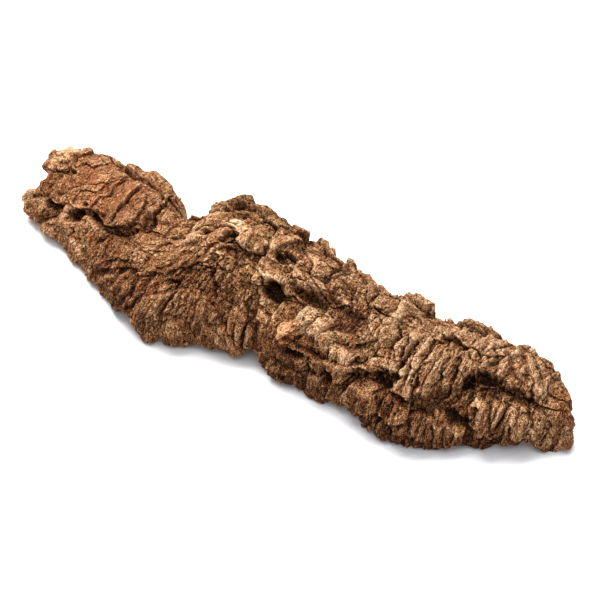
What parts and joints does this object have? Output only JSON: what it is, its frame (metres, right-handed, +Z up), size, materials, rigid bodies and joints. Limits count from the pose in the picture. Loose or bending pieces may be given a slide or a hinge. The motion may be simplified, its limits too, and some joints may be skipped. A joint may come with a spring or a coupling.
{
  "type": "piece of bark",
  "caption": "Arched slab of virgin cork bark with a rough, rolled and fissured outer face and a smoother hollow underside; lies flat with the rough side up.",
  "frame": {"origin": "centre of the bounding box at the plane the bark rests on", "axes": "+X along the bark towards its narrow end, +Z up out of the rough outer face"},
  "size_m": [0.3446, 0.104, 0.0502],
  "materials": {
    "bark": "rough, dry and matte, brown with paler crests and near-black fissures"
  },
  "bodies": {
    "root": {"bark": "bark"}
  },
  "joints": []
}
